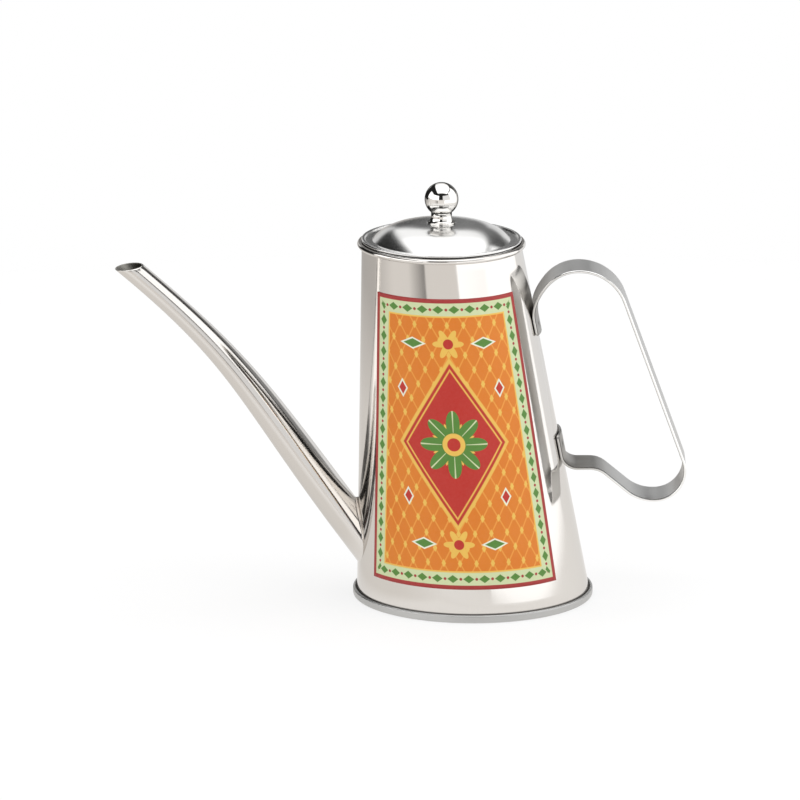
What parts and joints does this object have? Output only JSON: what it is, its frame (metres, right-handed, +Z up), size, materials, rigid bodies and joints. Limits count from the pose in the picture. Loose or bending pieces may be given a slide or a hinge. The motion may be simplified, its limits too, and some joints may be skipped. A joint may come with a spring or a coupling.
{
  "type": "oil cruet",
  "caption": "Polished steel oil cruet with a leaning conical body, long curved oval spout, bent strap handle, printed front label and a loose domed lid with a ball knob.",
  "frame": {"origin": "centre of the underside of the round base, on the table", "axes": "+Z up, -X towards the spout, +X towards the handle, -Y out of the front label"},
  "size_m": [0.2169, 0.0914, 0.1604],
  "materials": {
    "polished_steel": "mirror-polished stainless steel sheet",
    "satin_steel": "satin brushed stainless steel",
    "lid_steel": "spun and lightly polished stainless steel",
    "knob_chrome": "bright chrome plating",
    "label_print": "glossy printed film"
  },
  "bodies": {
    "vessel": {"body_shell": "polished_steel", "base_plate": "satin_steel", "spout": "polished_steel", "handle_strap": "satin_steel", "label_film": "label_print"},
    "lid": {"lid_dome": "lid_steel", "lid_skirt": "lid_steel", "lid_knob": "knob_chrome", "knob_screw": "satin_steel", "knob_washer": "satin_steel"}
  },
  "joints": [
    {"name": "lid_lift", "type": "slide", "parent": "vessel", "child": "lid", "axis": [0, 0, 1], "range_m": [0, 0.06]}
  ]
}
